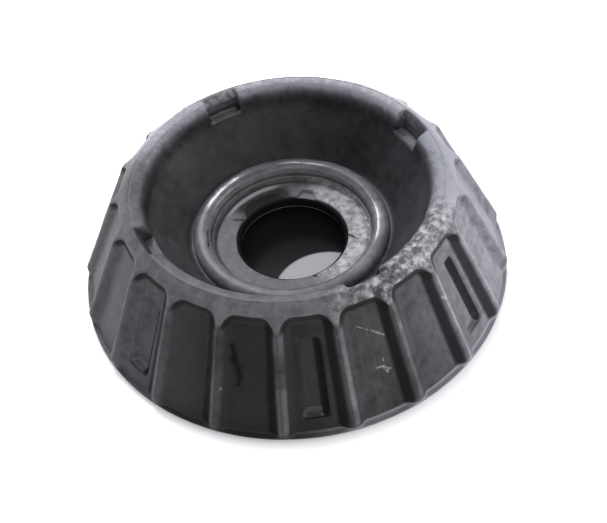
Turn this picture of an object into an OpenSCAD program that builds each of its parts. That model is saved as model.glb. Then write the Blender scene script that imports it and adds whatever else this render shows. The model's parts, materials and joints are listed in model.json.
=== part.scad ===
// Strut top mount: a moulded rubber cone bonded to a pressed steel core.
// Millimetres, +Z up, origin on the axis at the base plane.

/* [Cone] */
// Outside diameter of the base
base_d = 120; // [114:1:130]
// Height of the rim's crest above the base, before its rounding
cone_h = 33; // [31:0.5:38]
// Height of the plain upright band round the base
base_band_h = 3.6; // [2:0.1:5]
// Radius on the lower edge of the base
base_edge_r = 1; // [0.5:0.1:1.5]
// Diameter at the shoulder, where the flank turns into the rim
shoulder_d = 95; // [92:0.5:99]
// Height of the shoulder below the crest
shoulder_drop = 4.3; // [3:0.1:5.5]
// Radius on the shoulder
shoulder_r = 2.5; // [1:0.25:3]

/* [Rim and bowl] */
// Diameter of the rim's crest
crest_d = 84; // [82:0.5:87]
// Radius on the crest
crest_r = 1.5; // [0.5:0.25:2]
// Diameter of the lip, inside the crest
lip_d = 77; // [76:0.5:79]
// Height of the lip below the crest
lip_drop = 1.2; // [0.8:0.1:2]
// Radius on the lip
lip_r = 1.6; // [0.5:0.1:2]
// Diameter of the crease under the lip, where the bowl starts
bowl_d = 74; // [71:0.5:75]
// Height of that crease below the crest
bowl_drop = 6.8; // [5:0.1:8]
// Diameter at the foot of the bowl
bowl_foot_d = 57; // [55:0.5:60]
// Height of the bowl's foot above the steel plate
bowl_foot_rise = 3.8; // [3:0.1:5]
// Radius in the foot of the bowl
bowl_foot_r = 2.5; // [1:0.25:3]
// Diameter of the bead's centre circle
bead_d = 50; // [49.5:0.1:51]
// Thickness of the bead
bead_w = 5.2; // [4.5:0.1:6]
// Height of the bead's crest above the steel plate
bead_rise = 6.2; // [5.5:0.1:7]

/* [Film round the hole] */
// Thickness of the rubber film over the steel plate
film_t = 0.8; // [0.5:0.1:1.2]
// Diameter of the hole in the film
film_hole_d = 31.4; // [30.5:0.1:33]
// Outside diameter of the film's land
land_d = 43; // [42:0.1:44]
// Extra height of the land at its outer edge
land_rise = 0.6; // [0.3:0.1:1]
// Width of the groove between land and bead
groove_w = 0.9; // [0.6:0.1:1.2]
// Start angle of the window in the film
window_from = 79; // [70:1:90]
// Angle that the window spans
window_deg = 70; // [40:1:80]
// Start angle of the locating notch in the film
tab_from = 58; // [50:1:62]
// Angle that the locating notch spans
tab_deg = 15; // [10:1:18]
// Outside diameter of the locating notch
tab_d = 38; // [36:0.5:40]
// Width of the slits in the film's inner edge
slit_w = 0.9; // [0.5:0.1:1.5]
// Outside diameter that the slits reach
slit_d = 37.6; // [35:0.2:40]

/* [Steel core] */
// Diameter of the through hole
hole_d = 30; // [26:0.5:30.5]
// Thickness of the pressed sheet
sheet_t = 3; // [2:0.25:3.5]
// Height of the plate's underside above the base
plate_z = 6; // [4:0.1:7.5]
// Inside diameter of the cup under the plate
cup_d = 60; // [56:0.5:64]
// Height of the cup's lower edge above the base
cup_edge_z = 0.8; // [0.4:0.1:1.5]
// Chamfer on the edges of the hole
hole_chamfer = 0.4; // [0.2:0.1:0.7]

/* [Flank pockets] */
// Number of pockets round the flank
pocket_count = 21; // [15:1:22]
// Angle that a pocket spans at the flank's surface
pocket_deg = 14.3; // [10:0.1:15]
// Depth of a pocket, square to the flank
pocket_depth = 2; // [1:0.1:2.5]
// Slope of a pocket's side walls
pocket_draft = 42; // [10:1:45]
// Radius of a pocket's upper corners
pocket_corner_r = 3; // [1:0.25:4]
// Height of a pocket's upper end below the crest
pocket_top_drop = 2.4; // [2:0.1:6]
// Height of the thin lip left under a pocket, above the base's rounded edge
pocket_lip_h = 0.3; // [0.1:0.1:2]
// Height of the rise from a pocket's or slot's floor out to its lower end
pocket_foot_h = 0.6; // [0.3:0.1:2]
// Every how many pockets one has a slot
slot_every = 3; // [1:1:7]
// Angle that a slot spans at the pocket's floor
slot_deg = 5.2; // [3:0.1:7]
// Depth of a slot below the pocket's floor
slot_depth = 2; // [0.5:0.1:3]
// Slope of a slot's side walls
slot_draft = 10; // [0:1:20]
// Radius of a slot's upper corners
slot_corner_r = 1.4; // [0.5:0.1:2]
// Height of a slot's upper end below the crest
slot_top_drop = 8; // [6:0.5:14]
// Height of a slot's lower end above the pocket's lower end
slot_foot_rise = 3.4; // [1:0.1:6]

/* [Lip notches] */
// Number of notches in the lip
notch_count = 4; // [2:1:6]
// Angle that a notch spans
notch_deg = 16; // [8:1:20]
// Angle of the first notch
notch_turn = 23; // [0:1:40]
// Depth of a notch below the crest
notch_depth = 6; // [3:0.5:6.5]
// Rubber left between a notch and the crest circle
notch_wall = 0.4; // [0.3:0.1:1]

/* [Hidden] */
$fn = 96;
// Points in each rounded corner of the section
arc_steps = 6;
// Overrun of a cut past the surface that it opens
overrun = 2;
// Size of the half spaces that slope a pocket's walls
half_space = base_d;
// Angles of the slits in the film
slit_angles = [-75, -9, 145];
// Angle of the pocket that the pattern starts from
front_angle = -90;

base_r = base_d / 2;
shoulder_z = cone_h - shoulder_drop;
flank_slope = atan((base_r - shoulder_d / 2) / (shoulder_z - base_band_h));
flank_mid_r = (base_r + shoulder_d / 2) / 2;
flank_mid_z = (base_band_h + shoulder_z) / 2;
plate_top = plate_z + sheet_t;
film_top = plate_top + film_t;
skirt_r = cup_d / 2 + sheet_t;
bead_r = bead_w / 2;
bead_z = plate_top + bead_rise - bead_r;
groove_r = land_d / 2 + groove_w;
pocket_end_z = base_edge_r + pocket_lip_h;

// Angle brought between -180 and 180
function wrapped(a) = a - 360 * round(a / 360);

function unit(v) = v / norm(v);

// Points of an arc of radius r in the corner c between its neighbours p and n
function corner_arc(p, c, n, r) =
    let (
        a = unit(p - c),
        b = unit(n - c),
        half = acos(a * b) / 2,
        centre = c + unit(a + b) * r / sin(half),
        first = c + a * r / tan(half) - centre,
        last = c + b * r / tan(half) - centre,
        start = atan2(first.y, first.x),
        sweep = wrapped(atan2(last.y, last.x) - start)
    )
    [
        for (i = [0:arc_steps])
            let (turn = start + sweep * i / arc_steps)
            centre + r * [cos(turn), sin(turn)]
    ];

// Outline of corners [x, y, radius], with each radius made an arc
function rounded(corners) =
    let (n = len(corners))
    [
        for (i = [0:n - 1])
            let (
                p = corners[(i + n - 1) % n],
                c = corners[i],
                q = corners[(i + 1) % n]
            )
            each (c[2] > 0
                ? corner_arc([p[0], p[1]], [c[0], c[1]], [q[0], q[1]], c[2])
                : [[c[0], c[1]]])
    ];

// Radius of the flank's surface at height z, moved in by a depth square to it
function flank_r(z, depth = 0) =
    base_r - (z - base_band_h) * tan(flank_slope) - depth / cos(flank_slope);

// Half section of the rubber body, with its bead
module rubber_section() {
    polygon(rounded([
        [skirt_r, cup_edge_z, 0],
        [skirt_r + overrun, 0, 0],
        [base_r, 0, base_edge_r],
        [base_r, base_band_h, 0],
        [shoulder_d / 2, shoulder_z, shoulder_r],
        [crest_d / 2, cone_h, crest_r],
        [lip_d / 2, cone_h - lip_drop, lip_r],
        [bowl_d / 2, cone_h - bowl_drop, 0],
        [bowl_foot_d / 2, plate_top + bowl_foot_rise, bowl_foot_r],
        [bead_d / 2, plate_top + bowl_foot_rise, 0],
        [groove_r, plate_top + film_t, 0],
        [land_d / 2, film_top, 0],
        [land_d / 2, film_top + land_rise, land_rise / 2],
        [film_hole_d / 2, film_top, film_t / 2],
        [film_hole_d / 2, plate_top, 0],
        [skirt_r, plate_top, 0]
    ]));
    translate([bead_d / 2, bead_z]) circle(r = bead_r);
}

// Half section of the space in front of a pocket's floor, open to the outside from height end_z up
module floor_section(depth, end_z) {
    foot_z = end_z + pocket_foot_h;
    reach = base_r + half_space / 2;
    polygon([
        [flank_r(foot_z, depth), foot_z],
        [base_r, end_z],
        [reach, end_z],
        [reach, cone_h + overrun],
        [flank_r(cone_h + overrun, depth), cone_h + overrun]
    ]);
}

// Places children on the flank facing +X: x along the girth, y up the flank, z outward
module on_flank() {
    translate([flank_mid_r, 0, flank_mid_z])
        rotate([0, -flank_slope, 0])
            rotate([90, 0, 90])
                children();
}

// Outline of a pocket on the flank: plain below, with two rounded upper corners
module pocket_outline(half_low, half_high, low, high, corner_r) {
    polygon([
        [-half_low, low],
        [half_low, low],
        [half_high, high - corner_r],
        [half_high - corner_r, high],
        [corner_r - half_high, high],
        [-half_high, high - corner_r]
    ]);
    for (side = [-1, 1])
        translate([side * (half_high - corner_r), high - corner_r]) circle(r = corner_r);
}

// Half space on the inner side of a pocket's right wall
module wall_side(half_mid, taper, draft, level) {
    translate([half_mid, 0, level])
        rotate([0, 0, taper])
            rotate([0, draft, 0])
                translate([-half_space, -half_space / 2, -half_space / 2])
                    cube(half_space);
}

// Solid that cuts one pocket out of the flank facing +X
// start_depth is the depth of the surface that the angle is measured on
module pocket_cut(deg, start_depth, depth, draft, corner_r, top_drop, end_z) {
    half = deg / 2;
    low_r = flank_r(base_band_h, start_depth);
    high_r = flank_r(shoulder_z, start_depth);
    mid_r = (low_r + high_r) / 2;
    half_len = (shoulder_z - base_band_h) / cos(flank_slope) / 2;
    taper = atan((low_r - high_r) * sin(half) / (2 * half_len));
    level = -start_depth - mid_r * (1 - cos(half)) * cos(flank_slope);
    high = (cone_h - top_drop - flank_mid_z + depth * sin(flank_slope)) / cos(flank_slope);
    low = -half_len - base_band_h - overrun;
    margin = overrun / 4;
    intersection() {
        rotate([0, 0, -deg]) rotate_extrude(angle = 2 * deg) floor_section(depth, end_z);
        on_flank()
            translate([0, 0, -depth - overrun])
                linear_extrude(height = depth + 4 * overrun)
                    pocket_outline(
                        mid_r * sin(half) - low * tan(taper) + margin,
                        mid_r * sin(half) - high * tan(taper) + margin,
                        low, high, corner_r
                    );
        on_flank() wall_side(mid_r * sin(half), taper, draft, level);
        on_flank() mirror([1, 0, 0]) wall_side(mid_r * sin(half), taper, draft, level);
    }
}

// All the pockets, with a slot in every few of them
module pocket_cuts() {
    pitch = 360 / pocket_count;
    for (i = [0:pocket_count - 1])
        rotate([0, 0, front_angle + i * pitch])
            pocket_cut(
                pocket_deg, 0, pocket_depth,
                pocket_draft, pocket_corner_r, pocket_top_drop, pocket_end_z
            );
    for (i = [0:slot_every:pocket_count - 1])
        rotate([0, 0, front_angle + i * pitch])
            pocket_cut(
                slot_deg, pocket_depth, pocket_depth + slot_depth,
                slot_draft, slot_corner_r, slot_top_drop, pocket_end_z + slot_foot_rise
            );
}

// Part of a ring between two radii and two heights, from an angle on
module ring_part(r_in, r_out, z_low, z_high, from, span) {
    rotate([0, 0, from])
        rotate_extrude(angle = span)
            translate([r_in, z_low]) square([r_out - r_in, z_high - z_low]);
}

// Notches in the lip, open to the bowl
module notch_cuts() {
    for (i = [0:notch_count - 1])
        ring_part(
            bowl_d / 2 - overrun, crest_d / 2 - notch_wall,
            cone_h - notch_depth, cone_h + overrun,
            notch_turn - notch_deg / 2 + i * 360 / notch_count, notch_deg
        );
}

// Window, locating notch and slits that bare the steel through the film
module film_cuts() {
    film_cut_top = film_top + land_rise + overrun;
    inside_r = hole_d / 2 - overrun;
    window_r = land_d / 2 - groove_w / 2;
    ring_part(inside_r, window_r, plate_z, film_cut_top, window_from, window_deg);
    ring_part(inside_r, tab_d / 2, plate_z, film_cut_top, tab_from, tab_deg);
    for (a = slit_angles)
        rotate([0, 0, a])
            translate([0, -slit_w / 2, plate_z])
                cube([slit_d / 2, slit_w, film_cut_top - plate_z]);
}

// Moulded rubber body
module rubber_cone() {
    color([0.16, 0.16, 0.17])
        difference() {
            rotate_extrude() rubber_section();
            pocket_cuts();
            notch_cuts();
            film_cuts();
        }
}

// Pressed steel ring with the through hole, and a shallow cup underneath
module steel_core() {
    color([0.42, 0.42, 0.41])
        rotate_extrude()
            polygon([
                [hole_d / 2, plate_z + hole_chamfer],
                [hole_d / 2 + hole_chamfer, plate_z],
                [cup_d / 2, plate_z],
                [cup_d / 2, cup_edge_z],
                [skirt_r, cup_edge_z],
                [skirt_r, plate_top],
                [hole_d / 2 + hole_chamfer, plate_top],
                [hole_d / 2, plate_top - hole_chamfer]
            ]);
}

rubber_cone();
steel_core();
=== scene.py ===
"""Dresses the strut mount: a pocketed rubber cone bonded to a pressed steel core.

Sizes are in millimetres and angles in degrees unless a name says otherwise. Blender works in metres.
"""
import json
import logging
import math
from dataclasses import dataclass, field
from enum import Enum
from functools import reduce
from operator import add, mul

import bpy
import numpy as np
from mathutils import Matrix, Vector


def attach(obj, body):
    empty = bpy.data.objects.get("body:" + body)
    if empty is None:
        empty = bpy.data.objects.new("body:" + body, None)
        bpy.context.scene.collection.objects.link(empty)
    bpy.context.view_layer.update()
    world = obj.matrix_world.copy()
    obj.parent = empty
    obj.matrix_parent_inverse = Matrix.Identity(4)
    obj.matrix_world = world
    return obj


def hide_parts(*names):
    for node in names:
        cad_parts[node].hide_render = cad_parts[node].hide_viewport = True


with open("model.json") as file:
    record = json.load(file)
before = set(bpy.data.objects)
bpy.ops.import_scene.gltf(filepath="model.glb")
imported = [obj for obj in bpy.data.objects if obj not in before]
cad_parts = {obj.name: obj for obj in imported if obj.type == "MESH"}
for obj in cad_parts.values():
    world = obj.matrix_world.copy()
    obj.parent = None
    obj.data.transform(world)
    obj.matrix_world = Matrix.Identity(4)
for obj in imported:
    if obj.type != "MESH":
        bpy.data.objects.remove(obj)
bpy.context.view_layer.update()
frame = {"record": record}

MM = 0.001
DOUBLES = 0.004
PHOTO_W = 607
FORMER_SIDES = 360
ROOT_BODY = "root"
AXIS = (0.0, 0.0, 1.0)
ORIGIN = (0.0, 0.0, 0.0)
EASED = {"interpolation_type": "SMOOTHSTEP", "clamp": True}
COLOUR_MIX = {"data_type": "RGBA", "clamp_factor": True}

log = logging.getLogger("strut_mount")

Point = tuple[float, float]
Spot = tuple[float, float, float]
Colour = tuple[float, float, float]
# A slope runs from the value that gives 0 to the one that gives 1. A band has two ends and the width of
# its slopes. A sector has a middle, half its angle and the angle of its slopes.
Slope = tuple[float, float]
Band = tuple[float, float, float]
Sector = tuple[float, float, float]


class Slot(Enum):
    """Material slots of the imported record."""

    RUBBER = "rubber"
    STEEL = "steel"


class Node(Enum):
    """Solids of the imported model."""

    RUBBER_CONE = "rubber_cone"
    STEEL_CORE = "steel_core"


def mount_radius(name: str) -> float:
    """Reads a bore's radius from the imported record."""
    return next(m["dims"]["r_mm"] for m in frame["record"]["mounts"] if m["name"] == name)


def smooth_step(x: np.ndarray) -> np.ndarray:
    """Eases values from 0 to 1."""
    t = np.clip(x, 0.0, 1.0)
    return t * t * (3.0 - 2.0 * t)


def moulded_wall(x: np.ndarray, straight: float = 0.45) -> np.ndarray:
    """Rises from 0 to 1 as a moulded wall does, with a straight middle and round ends."""
    return straight * np.clip(x, 0.0, 1.0) + (1.0 - straight) * smooth_step(x)


@dataclass
class Pen:
    """Draws half a section as a chain of points."""

    points: list[Point] = field(default_factory=list)

    def dot(self, r: float, z: float) -> None:
        """Adds one point."""
        self.points.append((r, z))

    def line(self, r: float, z: float, steps: int = 1) -> None:
        """Goes straight to a point.

        Args:
            r: Radius to reach.
            z: Height to reach.
            steps: Number of points to lay on the way.
        """
        r0, z0 = self.points[-1]
        for i in range(1, steps + 1):
            self.dot(r0 + (r - r0) * i / steps, z0 + (z - z0) * i / steps)

    def arc(self, centre: Point, radius: float, start: float, end: float, steps: int) -> None:
        """Goes round part of a circle.

        Args:
            centre: Centre of the circle.
            radius: Radius of the circle.
            start: Angle that the arc starts from.
            end: Angle that the arc ends at.
            steps: Number of steps in the arc.
        """
        for i in range(steps + 1):
            a = math.radians(start + (end - start) * i / steps)
            self.dot(centre[0] + radius * math.cos(a), centre[1] + radius * math.sin(a))

    def corner(self, at: Point, beyond: Point, radius: float, steps: int, run: int = 1) -> None:
        """Goes to a corner and round it, towards the next one.

        Args:
            at: The sharp corner.
            beyond: The corner after it.
            radius: Radius of the arc in the corner.
            steps: Number of steps in the arc.
            run: Number of steps on the straight before the arc.
        """
        here = Vector(at)
        back = (Vector(self.points[-1]) - here).normalized()
        ahead = (Vector(beyond) - here).normalized()
        half = back.angle(ahead) / 2.0
        centre = here + (back + ahead).normalized() * (radius / math.sin(half))
        first = here + back * (radius / math.tan(half)) - centre
        last = here + ahead * (radius / math.tan(half)) - centre
        start = math.degrees(math.atan2(first.y, first.x))
        sweep = math.degrees(math.atan2(last.y, last.x)) - start
        sweep -= 360.0 * round(sweep / 360.0)
        if run > 1:
            self.line(*(centre + first), run)
            self.points.pop()
        self.arc(tuple(centre), radius, start, start + sweep, steps)


@dataclass
class Places:
    """Where a piece's points are, measured round the axis."""

    r: np.ndarray
    z: np.ndarray
    phi: np.ndarray

    @classmethod
    def of(cls, piece: bpy.types.Object) -> "Places":
        """Measures a piece.

        Args:
            piece: Piece in object mode.

        Returns:
            Radius, height and angle of each of its points.
        """
        flat = np.empty(len(piece.data.vertices) * 3)
        piece.data.vertices.foreach_get("co", flat)
        x, y, z = flat.reshape(-1, 3).T / MM
        return cls(np.hypot(x, y), z, np.degrees(np.arctan2(y, x)))

    def off(self, angle: float | np.ndarray) -> np.ndarray:
        """Angle from a direction to each point, as a positive number."""
        return np.abs((self.phi - angle + 180.0) % 360.0 - 180.0)


class Bench:
    """Runs the modelling operators on one object at a time."""

    @staticmethod
    def clear() -> None:
        """Deselects everything."""
        bpy.ops.object.select_all(action="DESELECT")

    @classmethod
    def take(cls, piece: bpy.types.Object) -> None:
        """Selects one object alone and makes it active.

        Args:
            piece: The object.
        """
        cls.clear()
        piece.select_set(True)
        bpy.context.view_layer.objects.active = piece

    @classmethod
    def lathe(
        cls, name: str, points: list[Point], start: float, columns: list[tuple[float, int]], copies: int = 1
    ) -> bpy.types.Object:
        """Extrudes a half section point by point, spins one sector and repeats that round the axis.

        Args:
            name: Name of the piece.
            points: Half section, in order round its outline.
            start: Angle at which the section is drawn.
            columns: Angles that the sector is spun through, and the steps in each.
            copies: Number of sectors in the full turn.

        Returns:
            The turned piece, closed and facing outwards.
        """
        cls.clear()
        bpy.ops.mesh.primitive_plane_add(size=MM, location=ORIGIN)
        piece = bpy.context.object
        piece.name = name
        piece.data.name = name
        bpy.ops.object.mode_set(mode="EDIT")
        bpy.ops.mesh.merge(type="CENTER")
        ray = Vector((math.cos(math.radians(start)), math.sin(math.radians(start)), 0.0))
        path = [(ray * r + Vector((0.0, 0.0, z))) * MM for r, z in points]
        bpy.ops.transform.translate(value=path[0])
        for here, there in zip(path, path[1:] + path[:1]):
            bpy.ops.mesh.extrude_region_move(TRANSFORM_OT_translate={"value": there - here})
        bpy.ops.mesh.select_all(action="SELECT")
        bpy.ops.mesh.remove_doubles(threshold=DOUBLES * MM)
        for angle, steps in columns:
            bpy.ops.mesh.spin(steps=steps, angle=math.radians(angle), center=ORIGIN, axis=AXIS)
        bpy.ops.mesh.select_all(action="SELECT")
        if copies > 1:
            turn = 2.0 * math.pi * (copies - 1) / copies
            bpy.ops.mesh.spin(steps=copies - 1, dupli=True, angle=turn, center=ORIGIN, axis=AXIS)
            bpy.ops.mesh.select_all(action="SELECT")
        bpy.ops.mesh.remove_doubles(threshold=DOUBLES * MM)
        bpy.ops.mesh.normals_make_consistent(inside=False)
        bpy.ops.object.mode_set(mode="OBJECT")
        return piece

    @classmethod
    def former(cls, name: str, low: Point, high: Point) -> bpy.types.Object:
        """Makes an open cone, or a flat disc, to press a piece onto.

        Args:
            name: Name of the former.
            low: Radius and height of its lower edge.
            high: Radius and height of its upper edge.

        Returns:
            The former.
        """
        cls.clear()
        bpy.ops.mesh.primitive_cone_add(
            vertices=FORMER_SIDES,
            radius1=low[0] * MM,
            radius2=high[0] * MM,
            depth=(high[1] - low[1]) * MM,
            end_fill_type="NOTHING",
            location=(0.0, 0.0, (low[1] + high[1]) / 2.0 * MM),
        )
        bpy.context.object.name = name
        return bpy.context.object

    @classmethod
    def press(cls, piece: bpy.types.Object, former: bpy.types.Object, weights: np.ndarray) -> None:
        """Draws part of a piece onto a former, as a mould insert does, and removes the former.

        Args:
            piece: Piece to shape.
            former: Surface that the points are drawn to.
            weights: Share of the way that each point goes.
        """
        group = piece.vertex_groups.new(name=former.name)
        for index in np.flatnonzero(weights > 0.0):
            group.add([int(index)], float(weights[index]), "REPLACE")
        wrap = piece.modifiers.new(former.name, "SHRINKWRAP")
        wrap.target = former
        wrap.wrap_method = "NEAREST_SURFACEPOINT"
        wrap.vertex_group = group.name
        cls.take(piece)
        bpy.ops.object.modifier_apply(modifier=wrap.name)
        piece.vertex_groups.clear()
        cls.take(former)
        bpy.ops.object.delete()

    @classmethod
    def uneven(cls, piece: bpy.types.Object, depth: float, size: float) -> None:
        """Lets a moulded surface sink a little here and there.

        Args:
            piece: Piece to shape.
            depth: Most that a point sinks.
            size: Size of the dips.
        """
        clouds = bpy.data.textures.new(piece.name + "_dips", "CLOUDS")
        clouds.noise_scale = size * MM
        clouds.noise_depth = 2
        sink = piece.modifiers.new(clouds.name, "DISPLACE")
        sink.texture = clouds
        sink.texture_coords = "LOCAL"
        sink.strength = depth * MM
        sink.mid_level = 1.0
        cls.take(piece)
        bpy.ops.object.modifier_apply(modifier=sink.name)

    @classmethod
    def close_up(cls, piece: bpy.types.Object, angle: float) -> None:
        """Merges what has come together, faces everything outwards and shades it smooth.

        Args:
            piece: Piece to finish.
            angle: Edges sharper than this stay crisp.
        """
        cls.take(piece)
        bpy.ops.object.mode_set(mode="EDIT")
        bpy.ops.mesh.select_all(action="SELECT")
        bpy.ops.mesh.remove_doubles(threshold=DOUBLES * MM)
        bpy.ops.mesh.dissolve_degenerate(threshold=DOUBLES * MM)
        bpy.ops.mesh.normals_make_consistent(inside=False)
        bpy.ops.object.mode_set(mode="OBJECT")
        bpy.ops.object.shade_smooth_by_angle(angle=math.radians(angle))
        cls.clear()


class Wire:
    """One output socket of a node tree, used in Python arithmetic."""

    def __init__(self, graph: "Graph", socket: bpy.types.NodeSocket) -> None:
        """Keeps the socket and the graph that it belongs to."""
        self.graph = graph
        self.socket = socket

    def maths(self, operation: str, *values: "Wire | float") -> "Wire":
        """Adds one Math node."""
        return self.graph.node("ShaderNodeMath", {"operation": operation}, dict(enumerate(values)))

    def __add__(self, other: "Wire | float") -> "Wire":
        """Sum."""
        return self.maths("ADD", self, other)

    def __radd__(self, other: float) -> "Wire":
        """Sum, with the number first."""
        return self.maths("ADD", other, self)

    def __sub__(self, other: "Wire | float") -> "Wire":
        """Difference."""
        return self.maths("SUBTRACT", self, other)

    def __rsub__(self, other: float) -> "Wire":
        """Difference, with the number first."""
        return self.maths("SUBTRACT", other, self)

    def __mul__(self, other: "Wire | float") -> "Wire":
        """Product."""
        return self.maths("MULTIPLY", self, other)

    def __rmul__(self, other: float) -> "Wire":
        """Product, with the number first."""
        return self.maths("MULTIPLY", other, self)

    def __truediv__(self, other: "Wire | float") -> "Wire":
        """Quotient."""
        return self.maths("DIVIDE", self, other)

    def __rtruediv__(self, other: float) -> "Wire":
        """Quotient, with the number first."""
        return self.maths("DIVIDE", other, self)

    def __pow__(self, other: float) -> "Wire":
        """Power."""
        return self.maths("POWER", self, other)

    def __rpow__(self, other: float) -> "Wire":
        """Power, with the number first."""
        return self.maths("POWER", other, self)

    def at_most(self, other: "Wire | float") -> "Wire":
        """The smaller of two values."""
        return self.maths("MINIMUM", self, other)

    def at_least(self, other: "Wire | float") -> "Wire":
        """The larger of two values."""
        return self.maths("MAXIMUM", self, other)

    def nearest(self) -> "Wire":
        """The nearest whole number."""
        return self.maths("ROUND", self)

    def size(self) -> "Wire":
        """The value without its sign."""
        return self.maths("ABSOLUTE", self)

    def rise(self, low: float, high: float) -> "Wire":
        """Eases from 0 at low to 1 at high; high may be the smaller."""
        values = {"Value": self, "From Min": low, "From Max": high, "To Min": 0.0, "To Max": 1.0}
        return self.graph.node("ShaderNodeMapRange", EASED, values)

    def hump(self, low: float, high: float, edge: float) -> "Wire":
        """Is 1 between two values and eases to 0 outside them."""
        return self.rise(low - edge, low) * self.rise(high + edge, high)


class Graph:
    """A node tree that is written as Python expressions."""

    def __init__(self, tree: bpy.types.NodeTree) -> None:
        """Takes the tree of a material or a world, and empties it."""
        self.tree = tree
        self.tree.nodes.clear()

    def node(self, kind: str, settings: dict, inputs: dict, output: str | int = 0) -> Wire | None:
        """Adds a node.

        Args:
            kind: The node's type.
            settings: Its settings, which are made first.
            inputs: Values or wires, by socket identifier, name or number.
            output: The output to return.

        Returns:
            The asked output, or nothing from a node that has none.
        """
        made = self.tree.nodes.new(kind)
        for key, value in settings.items():
            setattr(made, key, value)
        for key, value in inputs.items():
            self.feed(self.pick(made.inputs, key), value)
        return Wire(self, self.pick(made.outputs, output)) if len(made.outputs) else None

    @staticmethod
    def pick(sockets: bpy.types.bpy_prop_collection, key: str | int) -> bpy.types.NodeSocket:
        """Finds a socket.

        Args:
            sockets: A node's inputs or outputs.
            key: Number, identifier or name.

        Returns:
            The socket.
        """
        if isinstance(key, int):
            return sockets[key]
        return next((s for s in sockets if s.identifier == key), None) or sockets[key]

    def feed(self, socket: bpy.types.NodeSocket, value: "Wire | float | tuple") -> None:
        """Links a wire to a socket, or sets its value.

        Args:
            socket: Input socket.
            value: Wire, number, vector or colour.
        """
        if isinstance(value, Wire):
            self.tree.links.new(value.socket, socket)
        elif socket.type == "RGBA":
            socket.default_value = (*value, 1.0)
        else:
            socket.default_value = value

    def vector(self, operation: str, *values: "Wire | Spot", output: str = "Vector") -> Wire:
        """Adds one Vector Math node."""
        return self.node("ShaderNodeVectorMath", {"operation": operation}, dict(enumerate(values)), output)

    def blend(self, factor: "Wire | float", low: "Wire | Colour", high: "Wire | Colour") -> Wire:
        """Mixes two colours by the share of the second."""
        values = {"Factor_Float": factor, "A_Color": low, "B_Color": high}
        return self.node("ShaderNodeMix", COLOUR_MIX, values, "Result_Color")


class Sheet(Graph):
    """A material's nodes, with the part's own coordinates at hand in millimetres."""

    def __init__(self, name: str) -> None:
        """Starts a material whose Principled shader is wired to the output.

        Args:
            name: Name of the material.
        """
        self.material = bpy.data.materials.new(name)
        self.material.use_nodes = True
        super().__init__(self.material.node_tree)
        shader = self.node("ShaderNodeBsdfPrincipled", {}, {}, "BSDF")
        self.shader = shader.socket.node
        self.node("ShaderNodeOutputMaterial", {}, {"Surface": shader})
        coords = self.node("ShaderNodeTexCoord", {}, {}, "Object")
        scale = (1.0 / MM, 1.0 / MM, 1.0 / MM)
        self.place = self.vector("MULTIPLY", coords, scale)
        parts = self.node("ShaderNodeSeparateXYZ", {}, {0: self.place}).socket.node.outputs
        self.x, self.y, self.z = (Wire(self, part) for part in parts)
        self.r = (self.x * self.x + self.y * self.y) ** 0.5
        self.turn = self.x.maths("ARCTAN2", self.y, self.x) * math.degrees(1.0)

    def set(self, socket: str, value: "Wire | float | Colour") -> None:
        """Feeds one of the shader's own sockets."""
        self.feed(self.shader.inputs[socket], value)

    def noise(
        self, size: float, detail: float, rough: float, warp: float, seed: float, place: Wire | None = None
    ) -> Wire:
        """Soft noise, in the part's own space unless another is given.

        Args:
            size: Size of its features.
            detail: Number of finer layers.
            rough: Weight of the finer layers.
            warp: How far the pattern is bent by itself.
            seed: Offset that makes the pattern another one.
            place: Coordinates to use in place of the part's own.

        Returns:
            Values round a half.
        """
        values = {"Vector": place or self.place, "W": seed, "Scale": 1.0 / size, "Detail": detail}
        values.update({"Roughness": rough, "Distortion": warp})
        return self.node("ShaderNodeTexNoise", {"noise_dimensions": "4D"}, values)

    def streaks(self, width: float, length: float, seed: float) -> Wire:
        """Noise drawn out into streaks that run up and down."""
        drawn = self.node("ShaderNodeCombineXYZ", {}, {0: self.turn / width, 1: self.z / length, 2: 0.0})
        return self.noise(size=1.0, detail=3.0, rough=0.6, warp=0.2, seed=seed, place=drawn)

    def sector(self, middle: float, half: float, soft: float) -> Wire:
        """Is 1 in a sector round the axis and eases to 0 beside it."""
        turns = (self.turn - middle) / 360.0
        return ((turns - turns.nearest()).size() * 360.0).rise(half + soft, half)

    def zone(self, zone: "Zone") -> Wire:
        """Is 1 in a stretch of the surface and eases to 0 beside it.

        Args:
            zone: The stretch, with at least one limit.

        Returns:
            The mask.
        """
        limits = [(at, ends) for at, ends in ((self.r, zone.r), (self.z, zone.z)) if ends]
        masks = [at.rise(*ends) if len(ends) == 2 else at.hump(*ends) for at, ends in limits]
        if zone.sector:
            masks.append(self.sector(*zone.sector))
        return reduce(mul, masks)

    def stroke(self, mark: "Mark") -> Wire:
        """Is 1 along a straight mark and eases to 0 beside it.

        Args:
            mark: The mark.

        Returns:
            The mask.
        """
        run = Vector(mark.end) - Vector(mark.start)
        along = self.vector("SUBTRACT", self.place, mark.start)
        share = self.vector("DOT_PRODUCT", along, tuple(run / run.length_squared), output="Value")
        share = share.at_least(0.0).at_most(1.0)
        foot = self.node("ShaderNodeVectorMath", {"operation": "SCALE"}, {0: tuple(run), "Scale": share})
        low, high = (mark.width * part for part in mark.soft)
        return self.vector("DISTANCE", along, foot, output="Value").rise(low, high)

    def marks(self, marks: "tuple[Mark, ...]") -> Wire:
        """Lays straight marks over each other."""
        return reduce(Wire.at_least, [self.stroke(mark) for mark in marks])

    def bump(self, height: Wire, depth: float, strength: float) -> None:
        """Feeds the shader's normal from a height."""
        values = {"Strength": strength, "Distance": depth * MM, "Height": height}
        self.set("Normal", self.node("ShaderNodeBump", {}, values, "Normal"))


@dataclass(frozen=True)
class Mark:
    """A straight mark from one spot to another, with a slope in shares of its width."""

    start: Spot
    end: Spot
    width: float
    soft: Slope = (1.3, 0.1)


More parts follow.
